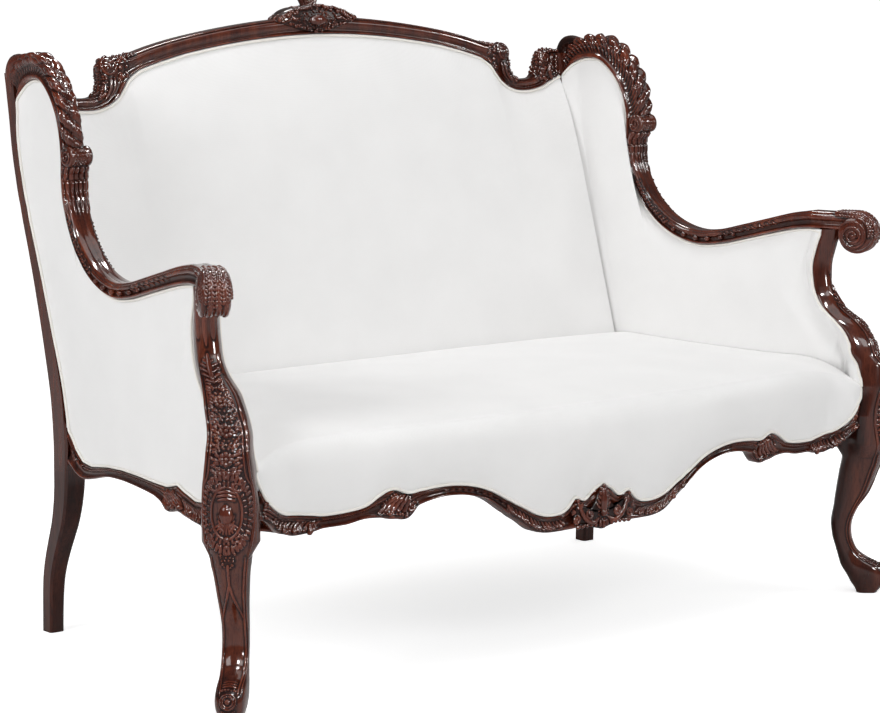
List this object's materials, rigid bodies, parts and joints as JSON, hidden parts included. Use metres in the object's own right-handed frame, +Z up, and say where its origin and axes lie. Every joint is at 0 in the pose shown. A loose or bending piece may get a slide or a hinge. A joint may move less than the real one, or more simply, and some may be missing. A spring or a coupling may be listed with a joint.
{
  "type": "cabriole sofa",
  "caption": "Carved show-wood settee with cabriole front legs, gadrooned wings, scrolled arms and a tight upholstered seat, back and sides.",
  "frame": {"origin": "on the floor, under the middle of the sofa's bounding box", "axes": "+X along the length towards the sitter's left-hand arm seen from the front as the right-hand one, -Y is the front that the sitter faces, +Z up"},
  "size_m": [1.549, 0.8786, 1.1366],
  "materials": {
    "show_wood": "dark red-brown mahogany, gloss polish, darker in the carving",
    "frame_wood": "unfinished beech, sawn",
    "cover_cloth": "plain off-white smooth cloth, fine weave",
    "piping": "cream self piping",
    "webbing": "woven elastic webbing",
    "dust_cloth": "thin black non-woven cloth"
  },
  "bodies": {
    "root": {"left_front_leg": "show_wood", "left_arm_post": "show_wood", "left_rear_post": "show_wood", "left_arm_rail": "show_wood", "left_wing_crest": "show_wood", "left_side_rail": "show_wood", "right_front_leg": "show_wood", "right_arm_post": "show_wood", "right_rear_post": "show_wood", "right_arm_rail": "show_wood", "right_wing_crest": "show_wood", "right_side_rail": "show_wood", "crest_rail": "show_wood", "crest_shell": "show_wood", "front_seat_rail": "show_wood", "apron_cartouche": "show_wood", "rear_seat_rail": "frame_wood", "seat_stretcher": "frame_wood", "corner_blocks": "frame_wood", "back_bottom_rail": "frame_wood", "back_slats": "frame_wood", "left_arm_tack_rail": "frame_wood", "right_arm_tack_rail": "frame_wood", "seat_webbing": "webbing", "cross_webbing": "webbing", "seat_cushion": "cover_cloth", "inside_back": "cover_cloth", "left_inside_arm": "cover_cloth", "right_inside_arm": "cover_cloth", "left_outside_arm": "cover_cloth", "right_outside_arm": "cover_cloth", "outside_back": "cover_cloth", "seat_piping": "piping", "inside_back_piping": "piping", "left_inside_piping": "piping", "right_inside_piping": "piping", "left_outside_piping": "piping", "right_outside_piping": "piping", "dust_cover": "dust_cloth"}
  },
  "joints": []
}
